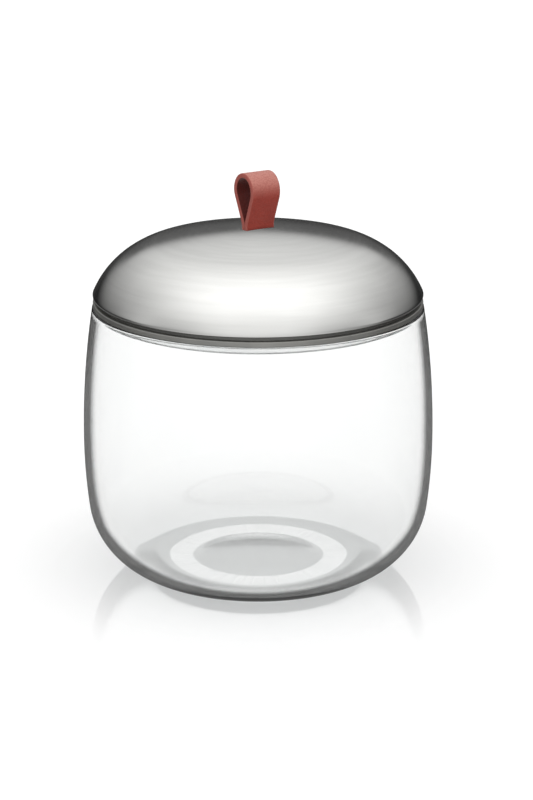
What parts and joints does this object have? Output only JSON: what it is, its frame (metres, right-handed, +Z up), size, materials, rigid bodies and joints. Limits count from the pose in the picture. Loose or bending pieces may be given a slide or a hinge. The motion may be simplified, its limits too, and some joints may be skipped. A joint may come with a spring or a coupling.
{
  "type": "coffee capsule holder",
  "caption": "Rounded clear glass jar with a spun steel dome lid, a grey seat ring with a seal under its edge, and a leather pull loop through a slot at its top; the lid lifts off.",
  "frame": {"origin": "centre of the face that the jar stands on", "axes": "+Z up, the way the lid lifts; +X along the width of the strap, so that its loop opens along X; +Y to the back"},
  "size_m": [0.152, 0.152, 0.1764],
  "materials": {
    "clear_glass": "polished",
    "satin_steel": "satin, turned",
    "grey_plastic": "matt",
    "silicone": "smooth, translucent",
    "leather": "fine grain",
    "plain_steel": "plain"
  },
  "bodies": {
    "jar": {"glass_jar": "clear_glass"},
    "lid": {"lid_dome": "satin_steel", "lid_ring": "grey_plastic", "seal_ring": "silicone", "strap_tails": "leather", "clamp_plate": "plain_steel", "weld_studs": "plain_steel", "stud_washers": "plain_steel", "stud_nuts": "plain_steel"},
    "strap": {"strap_loop": "leather"}
  },
  "joints": [
    {"name": "lid_lift", "type": "slide", "parent": "jar", "child": "lid", "axis": [0, 0, 1], "range_m": [0, 0.12]},
    {"name": "strap_bend", "type": "hinge", "parent": "lid", "child": "strap", "pos_m": [0, 0, 0.1546], "axis": [1, 0, 0], "range_deg": [-60, 60], "stiffness_Nm_per_rad": 0.004}
  ]
}
